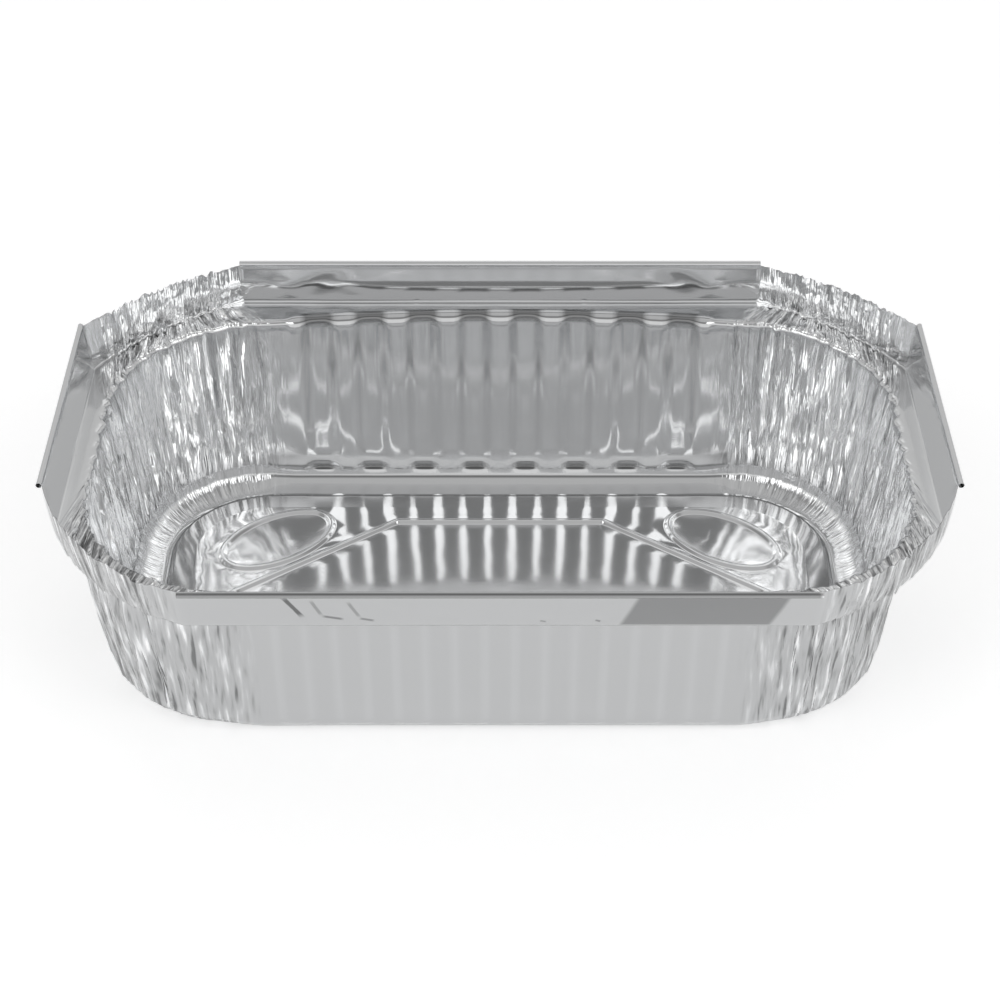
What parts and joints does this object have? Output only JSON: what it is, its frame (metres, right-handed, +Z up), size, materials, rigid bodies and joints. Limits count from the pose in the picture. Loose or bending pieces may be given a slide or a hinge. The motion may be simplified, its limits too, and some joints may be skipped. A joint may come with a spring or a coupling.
{
  "type": "aluminium foil tray",
  "caption": "Oblong pressed foil food tray with rounded corners, fluted walls, a ledge, an upright lid rim with a rolled hem and an embossed base.",
  "frame": {"origin": "on the table, under the middle of the whole tray, hems included", "axes": "+X along the length, +Y towards the back, +Z up out of the open top; the picture looks along +Y from above"},
  "size_m": [0.2012, 0.1248, 0.0598],
  "materials": {
    "foil": "satin"
  },
  "bodies": {
    "root": {"tray": "foil"}
  },
  "joints": []
}
